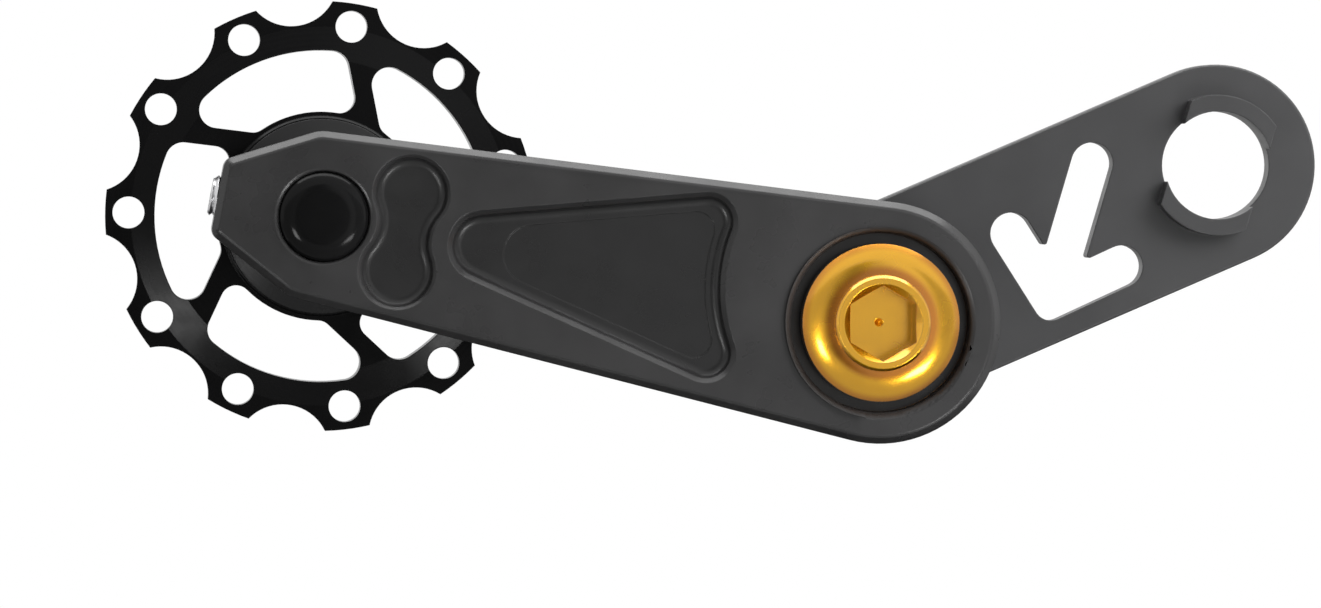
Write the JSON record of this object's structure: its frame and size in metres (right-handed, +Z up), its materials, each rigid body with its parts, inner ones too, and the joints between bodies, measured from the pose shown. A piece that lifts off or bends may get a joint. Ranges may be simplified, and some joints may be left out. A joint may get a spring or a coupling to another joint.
{
  "type": "bicycle chain tensioner",
  "caption": "Sprung chain tensioner with a slotted hanger plate, a milled swing arm on a gold pivot bolt, and a toothed pulley on a ball bearing.",
  "frame": {"origin": "centre of the wheel axle's bore, on the hanger plate's outboard face", "axes": "+Y inboard along the axles, towards the wheel; +Z up and +X right as the picture shows the part from its outboard side, with the arm to the left"},
  "size_m": [0.1121, 0.0208, 0.0404],
  "materials": {
    "black_anodised_plate": "matt black anodised, milled",
    "black_anodised_arm": "satin black anodised, milled",
    "black_anodised_pulley": "satin black anodised, turned and milled",
    "black_anodised_turned": "satin black anodised, turned",
    "gold_anodised": "gold anodised, turned",
    "bright_steel": "plain steel, turned",
    "dark_steel": "blackened steel",
    "spring_steel": "drawn spring wire",
    "bearing_steel": "ground and polished",
    "pressed_steel": "pressed sheet",
    "bearing_bronze": "sintered bronze",
    "black_acetal": "turned plastic"
  },
  "bodies": {
    "hanger": {"hanger_plate": "black_anodised_plate", "pivot_bolt": "gold_anodised", "pivot_lock_nut": "dark_steel", "stop_pin": "bright_steel", "torsion_spring": "spring_steel", "thrust_ring": "black_acetal"},
    "swing_arm": {"arm": "black_anodised_arm", "pivot_bush": "bearing_bronze", "axle_set_screw": "bright_steel"},
    "axle": {"pulley_axle": "black_anodised_turned", "front_dust_cover": "black_anodised_turned", "rear_dust_cover": "black_anodised_turned", "bearing_inner_ring": "bearing_steel", "axle_end_washer": "bright_steel", "axle_end_screw": "dark_steel"},
    "pulley": {"pulley_wheel": "black_anodised_pulley", "bearing_outer_ring": "bearing_steel", "bearing_balls": "bearing_steel", "bearing_cage": "bearing_bronze", "bearing_front_shield": "pressed_steel", "bearing_rear_shield": "pressed_steel"}
  },
  "joints": [
    {"name": "arm_pivot", "type": "hinge", "parent": "hanger", "child": "swing_arm", "pos_m": [-0.03241, 0, -0.01435], "axis": [0, -1, 0], "range_deg": [0, 75], "stiffness_Nm_per_rad": 0.3, "springref_deg": -68.75, "deforming": ["torsion_spring"]},
    {"name": "chainline_slide", "type": "slide", "parent": "swing_arm", "child": "axle", "axis": [0, 1, 0], "range_m": [0, 0.003]},
    {"name": "pulley_spin", "type": "hinge", "parent": "axle", "child": "pulley", "pos_m": [-0.08305, 0, -0.00471], "axis": [0, 1, 0], "continuous": true}
  ]
}
